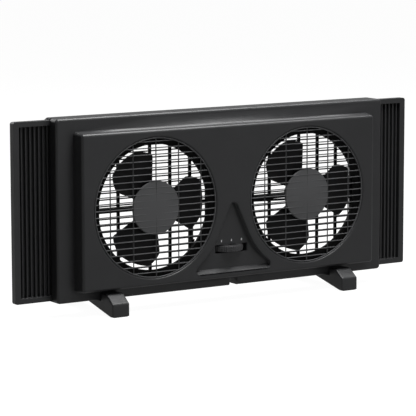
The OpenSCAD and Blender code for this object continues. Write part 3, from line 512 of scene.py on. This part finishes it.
class FAN_OT_grilles(bpy.types.Operator):
    """Front grilles: ring, level bars, uprights and the solid disc"""
    bl_idname = "fan.grilles"
    bl_label = "Front grilles"

    ring = 1.8 * MM
    ring_edge = 0.6 * MM
    cap_edge = 1.2 * MM

    def execute(self, context):
        plan = context.scene.fan_grille
        for side in SIDES:
            node = "front_grille_" + side
            low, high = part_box(node)
            centre = FAN_CENTRE[side]
            radius = (high.x - low.x) / 2
            inner = radius - self.ring
            middle = Vector((centre.x, (low.y + high.y) / 2, centre.z))
            depth = high.y - low.y
            bm = bmesh.new()
            turned(bm, rounded_profile(inner, radius, low.y, high.y, self.ring_edge), centre)
            count = int(inner / plan.pitch)
            for i in range(-count, count + 1):
                height = i * plan.pitch + plan.shift
                if abs(height) < inner:
                    reach = math.sqrt((inner + MM) ** 2 - height ** 2)
                    level = middle + Vector((0, 0, height))
                    bar(bm, level - Vector((reach, 0, 0)), level + Vector((reach, 0, 0)),
                        plan.bar, depth)
            for i in range(-2, 3):
                offset = i * plan.uprights
                reach = math.sqrt((inner + MM) ** 2 - offset ** 2)
                place = middle + Vector((offset, 0, 0))
                bar(bm, place - Vector((0, 0, reach)), place + Vector((0, 0, reach)),
                    plan.upright, depth)
            self.cap(bm, centre, plan, low.y, high.y)
            make_piece(bm, node + "_shape", "grille", [node])
        return {"FINISHED"}

    def cap(self, bm, centre, plan, front, back):
        """The solid disc: slightly domed, with a rounded rim."""
        radius = plan.cap / 2
        edge = self.cap_edge
        profile = [(0.0, front)]
        for i in range(1, 9):
            r = (radius - edge) * i / 8
            profile.append((r, front + plan.dome * (i / 8) ** 2))
        for i in range(1, 6):
            a = math.radians(90.0 * i / 5)
            profile.append((radius - edge + edge * math.sin(a),
                            front + plan.dome + edge * (1.0 - math.cos(a))))
        profile += [(radius, back), (0.0, back)]
        turned(bm, profile, centre)


class FAN_OT_guards(bpy.types.Operator):
    """Rear guards behind the motors"""
    bl_idname = "fan.guards"
    bl_label = "Rear guards"

    def execute(self, context):
        for side in SIDES:
            softened("rear_guard_" + side, "guard", 0.35 * MM, shortest=1.0 * MM)
        return {"FINISHED"}


class FAN_OT_impellers(bpy.types.Operator):
    """Impellers: hub, web, boss and swept blades"""
    bl_idname = "fan.impellers"
    bl_label = "Impellers"

    root_r = 26.5 * MM
    tip_r = 97.5 * MM
    sweep = math.radians(68.0)
    low_share = 0.45
    low_corner = (12 * MM, math.radians(20.0))
    high_corner = (22 * MM, math.radians(14.0))
    corner_bend = 1.3
    thick = 1.8 * MM
    inset = 0.3 * MM
    taper = 5 * MM
    crown = 2.2 * MM
    blade_edge = 0.45 * MM
    hub_r = 28 * MM
    hub_wall = 2.5 * MM
    hub_edge = 1.5 * MM
    boss_r = 8 * MM
    bore_r = 3.05 * MM
    web_depth = 3.5 * MM
    boss_depth = 4.5 * MM
    web_lap = 2 * MM
    face_gap = 0.4 * MM

    def execute(self, context):
        blades = context.scene.fan_grille.blades
        for side in SIDES:
            node = "impeller_" + side
            low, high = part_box(node)
            centre = FAN_CENTRE[side]
            bm = bmesh.new()
            for k in range(blades):
                self.blade(bm, centre, low.y, high.y, math.tau * k / blades)
            self.hub(bm, centre, low.y, high.y)
            make_piece(bm, node + "_shape", "blade", [node])
            softened("impeller_nut_" + side, "steel", 0.5 * MM)
        return {"FINISHED"}

    def corner(self, r, size):
        """How far a blade's edge turns in at radius r, for a tip corner of a length and an angle."""
        length, turn = size
        return turn * max(0.0, (r - (self.tip_r - length)) / length) ** self.corner_bend

    def blade(self, bm, centre, front, back, turn):
        """One blade, bent from a flat grid and given its thickness."""
        made = bmesh.ops.create_grid(bm, x_segments=26, y_segments=20, size=0.5)
        verts = made["verts"]
        for v in verts:
            t = v.co.x + 0.5
            out = math.sin(math.pi / 2 * (v.co.y + 0.5))
            r = self.root_r + (self.tip_r - self.root_r) * out
            low = -self.low_share * self.sweep + self.corner(r, self.low_corner)
            high = (1 - self.low_share) * self.sweep - self.corner(r, self.high_corner)
            a = low + t * (high - low) + turn
            depth = back - front - self.thick - 2 * self.inset - self.taper * out
            level = (front + back) / 2 + (0.5 - t) * depth + self.crown * math.sin(math.pi * t) * out
            v.co = (centre.x + r * math.cos(a), level - self.thick / 2, centre.z + r * math.sin(a))
        faces = list({f for v in verts for f in v.link_faces})
        bmesh.ops.recalc_face_normals(bm, faces=faces)
        made = bmesh.ops.solidify(bm, geom=faces, thickness=self.thick)
        rim = [e for e in bm.edges if e.calc_face_angle(0.0) > math.radians(50)
               and math.hypot(e.verts[0].co.x - centre.x, e.verts[0].co.z - centre.z) > self.root_r + MM]
        own = {v for f in faces for v in f.verts}
        own |= {v for v in made["geom"] if isinstance(v, bmesh.types.BMVert)}
        rim = [e for e in rim if e.verts[0] in own and e.verts[1] in own]
        round_off(bm, rim, self.blade_edge, 2)

    def hub(self, bm, centre, front, back):
        """The hub's shell, its web and the boss that takes the shaft."""
        hub_r, wall, edge, boss_r, bore_r = self.hub_r, self.hub_wall, self.hub_edge, self.boss_r, self.bore_r
        web_y = front + self.web_depth
        boss_y = web_y + self.boss_depth
        outer = [(hub_r - edge + edge * math.sin(a), front + edge * (1.0 - math.cos(a)))
                 for a in [math.radians(90.0 * i / 4) for i in range(5)]]
        profile = [(boss_r + self.web_lap, web_y), (hub_r - wall, web_y)]
        profile.append((hub_r - wall, front + self.face_gap))
        profile += outer + [(hub_r, back), (hub_r - wall, back), (hub_r - wall, web_y + wall)]
        profile += [(boss_r, web_y + wall), (boss_r, boss_y), (bore_r, boss_y), (bore_r, web_y)]
        turned(bm, profile, centre)


class FAN_OT_motors(bpy.types.Operator):
    """Motor bells, stators, windings, rotors and bushes"""
    bl_idname = "fan.motors"
    bl_label = "Motors"

    bell_edge = 0.5 * MM
    coil_edge = 1.0 * MM

    def execute(self, context):
        edges = context.scene.fan_edges
        for side in SIDES:
            for bell in ("motor_front_bell_", "motor_rear_bell_"):
                softened(bell + side, "zinc", self.bell_edge, angle=40.0, shortest=0.6 * MM)
            softened("motor_rotor_" + side, "steel", edges.small)
            dress("motor_stator_" + side, "core")
            softened("motor_windings_" + side, "copper", self.coil_edge)
            dress("motor_bushes_" + side, "bronze")
        return {"FINISHED"}


class FAN_OT_side_panels(bpy.types.Operator):
    """Ribbed side panels that slide out of the body"""
    bl_idname = "fan.side_panels"
    bl_label = "Side panels"

    def execute(self, context):
        edges = context.scene.fan_edges
        for side in SIDES:
            softened("side_panel_" + side, "shell", edges.frame, shortest=1.0 * MM, segments=3)
        return {"FINISHED"}


class FAN_OT_feet(bpy.types.Operator):
    """Feet and their rubber pads"""
    bl_idname = "fan.feet"
    bl_label = "Feet"

    def execute(self, context):
        edges = context.scene.fan_edges
        for side in SIDES:
            node = "foot_" + side
            bm = merged(node)
            outer = corner_edges(bm, angle=20.0, shortest=5 * MM, convex=True)
            above = [e for e in outer if all(f.normal.z > -0.1 for f in e.link_faces)]
            round_off(bm, above, edges.foot, 4)
            make_piece(bm, node + "_shape", "shell", [node])
        softened("foot_pads", "rubber", 0.5 * MM)
        return {"FINISHED"}


class FAN_OT_fasteners(bpy.types.Operator):
    """Screws, bolts, leads and the gland"""
    bl_idname = "fan.fasteners"
    bl_label = "Fasteners and leads"

    def execute(self, context):
        edges = context.scene.fan_edges
        for node in ("housing_screws", "motor_screws", "bell_bolts", "switch_screws", "foot_screws"):
            softened(node, "steel", edges.small)
        for side in SIDES:
            dress("motor_lead_" + side, "rubber")
        softened("cord_gland", "rubber", 0.4 * MM)
        return {"FINISHED"}


# ---- the stage -----------------------------------------------------------------------

class FAN_OT_stage(bpy.types.Operator):
    """Camera, floor, surroundings and lights"""
    bl_idname = "fan.stage"
    bl_label = "Stage"

    yaw = math.radians(32.40)
    pitch = math.radians(8.08)
    roll = math.radians(0.09)
    aim = (0, 0, 0.2)
    floor_half = 12.0
    floor_glow = 0.96
    floor_gloss = 0.3
    floor_matt = (0.12, 0.12, 0.12, 1.0)
    floor_unseen = (0.1, 0.1, 0.1, 1.0)
    place = Vector((-2.0377, FACE_Y - 3.1539, 0.6898))

    def execute(self, context):
        settings = context.scene.fan_stage
        context.scene.view_settings.view_transform = "Standard"
        self.camera(context, settings)
        self.floor()
        self.world(context, settings)
        self.lamp("top_light", (0.5, -0.35, 2.3), self.aim, (2.4, 1.2), settings.key)
        self.lamp("front_light", (1.3, -3.3, 1.2), self.aim, (2.0, 1.6), settings.fill)
        self.lamp("back_light", (-0.8, 3.0, 1.6), self.aim, (2.4, 1.6), settings.back)
        return {"FINISHED"}

    def camera(self, context, settings):
        data = bpy.data.cameras.new("photo_camera")
        data.lens = settings.lens
        data.sensor_width = 36.0
        camera = bpy.data.objects.new("photo_camera", data)
        context.scene.collection.objects.link(camera)
        turn = (Matrix.Rotation(-self.yaw, 4, "Z") @ Matrix.Rotation(math.pi / 2 - self.pitch, 4, "X")
                @ Matrix.Rotation(-self.roll, 4, "Z"))
        camera.matrix_world = Matrix.Translation(self.place) @ turn
        context.scene.camera = camera

    def lamp(self, name, place, target, size, power):
        data = bpy.data.lights.new(name, "AREA")
        data.shape = "RECTANGLE"
        data.size, data.size_y = size
        data.energy = power
        lamp = bpy.data.objects.new(name, data)
        bpy.context.scene.collection.objects.link(lamp)
        lamp.location = place
        lamp.rotation_euler = (Vector(target) - Vector(place)).to_track_quat("-Z", "Y").to_euler()

    def floor(self):
        """A plain floor that the camera sees as white and that lights the fan only a little."""
        bm = bmesh.new()
        bmesh.ops.create_grid(bm, x_segments=1, y_segments=1, size=self.floor_half)
        mesh = bpy.data.meshes.new("floor")
        bm.to_mesh(mesh)
        bm.free()
        floor = bpy.data.objects.new("floor", mesh)
        bpy.context.scene.collection.objects.link(floor)
        material = bpy.data.materials.new("floor_paper")
        material.use_nodes = True
        tree = material.node_tree
        nodes, links = tree.nodes, tree.links
        nodes.clear()
        path = nodes.new("ShaderNodeLightPath")
        seen = nodes.new("ShaderNodeMath")
        seen.operation = "MAXIMUM"
        links.new(path.outputs["Is Camera Ray"], seen.inputs[0])
        links.new(path.outputs["Is Glossy Ray"], seen.inputs[1])
        # gloss mirrors the floor dimmer than the camera sees it
        dimmed = nodes.new("ShaderNodeMath")
        dimmed.operation = "MULTIPLY_ADD"
        links.new(path.outputs["Is Glossy Ray"], dimmed.inputs[0])
        dimmed.inputs[1].default_value = self.floor_gloss
        links.new(path.outputs["Is Camera Ray"], dimmed.inputs[2])
        strength = nodes.new("ShaderNodeMath")
        strength.operation = "MULTIPLY"
        strength.inputs[0].default_value = self.floor_glow
        links.new(dimmed.outputs[0], strength.inputs[1])
        glow = nodes.new("ShaderNodeEmission")
        links.new(strength.outputs[0], glow.inputs["Strength"])
        matt = nodes.new("ShaderNodeBsdfDiffuse")
        matt.inputs["Color"].default_value = self.floor_matt
        both = nodes.new("ShaderNodeAddShader")
        links.new(glow.outputs[0], both.inputs[0])
        links.new(matt.outputs[0], both.inputs[1])
        plain = nodes.new("ShaderNodeBsdfDiffuse")
        plain.inputs["Color"].default_value = self.floor_unseen
        mix = nodes.new("ShaderNodeMixShader")
        links.new(seen.outputs[0], mix.inputs[0])
        links.new(plain.outputs[0], mix.inputs[1])
        links.new(both.outputs[0], mix.inputs[2])
        out = nodes.new("ShaderNodeOutputMaterial")
        links.new(mix.outputs[0], out.inputs["Surface"])
        mesh.materials.append(material)

    def world(self, context, settings):
        """Dim surroundings for the fan, seen by the camera as a white backdrop."""
        world = bpy.data.worlds.new("studio")
        context.scene.world = world
        world.use_nodes = True
        tree = world.node_tree
        nodes, links = tree.nodes, tree.links
        background = nodes["Background"]
        background.inputs["Color"].default_value = (1.0, 1.0, 1.0, 1.0)
        path = nodes.new("ShaderNodeLightPath")
        coordinates = nodes.new("ShaderNodeTexCoord")
        axes = nodes.new("ShaderNodeSeparateXYZ")
        links.new(coordinates.outputs["Generated"], axes.inputs[0])
        # what gloss mirrors: pale behind the fan, dimmer in front of it
        behind = nodes.new("ShaderNodeMapRange")
        behind.inputs["From Min"].default_value = -0.35
        behind.inputs["From Max"].default_value = 0.55
        behind.inputs["To Min"].default_value = settings.ambient
        behind.inputs["To Max"].default_value = settings.behind
        links.new(axes.outputs["Y"], behind.inputs["Value"])
        gloss = nodes.new("ShaderNodeMix")
        gloss.inputs[2].default_value = settings.ambient
        links.new(path.outputs["Is Glossy Ray"], gloss.inputs[0])
        links.new(behind.outputs[0], gloss.inputs[3])
        seen = nodes.new("ShaderNodeMath")
        seen.operation = "MAXIMUM"
        links.new(path.outputs["Is Camera Ray"], seen.inputs[0])
        links.new(path.outputs["Is Transmission Ray"], seen.inputs[1])
        strength = nodes.new("ShaderNodeMix")
        strength.inputs[3].default_value = 1.0
        links.new(seen.outputs[0], strength.inputs[0])
        links.new(gloss.outputs[0], strength.inputs[2])
        links.new(strength.outputs[0], background.inputs["Strength"])


# ---- the add-on ------------------------------------------------------------------------

OPERATORS = (FAN_OT_housings, FAN_OT_control, FAN_OT_grilles, FAN_OT_guards, FAN_OT_impellers,
             FAN_OT_motors, FAN_OT_side_panels, FAN_OT_feet, FAN_OT_fasteners, FAN_OT_stage)


class FAN_PT_panel(bpy.types.Panel):
    """Lists the operators that dress the fan"""
    bl_idname = "FAN_PT_panel"
    bl_label = "Window Fan"
    bl_space_type = "VIEW_3D"
    bl_region_type = "UI"
    bl_category = "Window Fan"

    def draw(self, context):
        for operator in OPERATORS:
            self.layout.operator(operator.bl_idname)


GROUPS = {"fan_finish": FanFinish, "fan_edges": FanEdges, "fan_grille": FanGrille, "fan_stage": FanStage}


def register():
    for item in (*GROUPS.values(), *OPERATORS, FAN_PT_panel):
        bpy.utils.register_class(item)
    for name, group in GROUPS.items():
        setattr(bpy.types.Scene, name, PointerProperty(type=group))


def unregister():
    for name in GROUPS:
        delattr(bpy.types.Scene, name)
    for item in (FAN_PT_panel, *reversed(OPERATORS), *GROUPS.values()):
        bpy.utils.unregister_class(item)


def main():
    register()
    for operator in OPERATORS:
        group, name = operator.bl_idname.split(".")
        getattr(getattr(bpy.ops, group), name)()


if __name__ == "__main__":
    main()
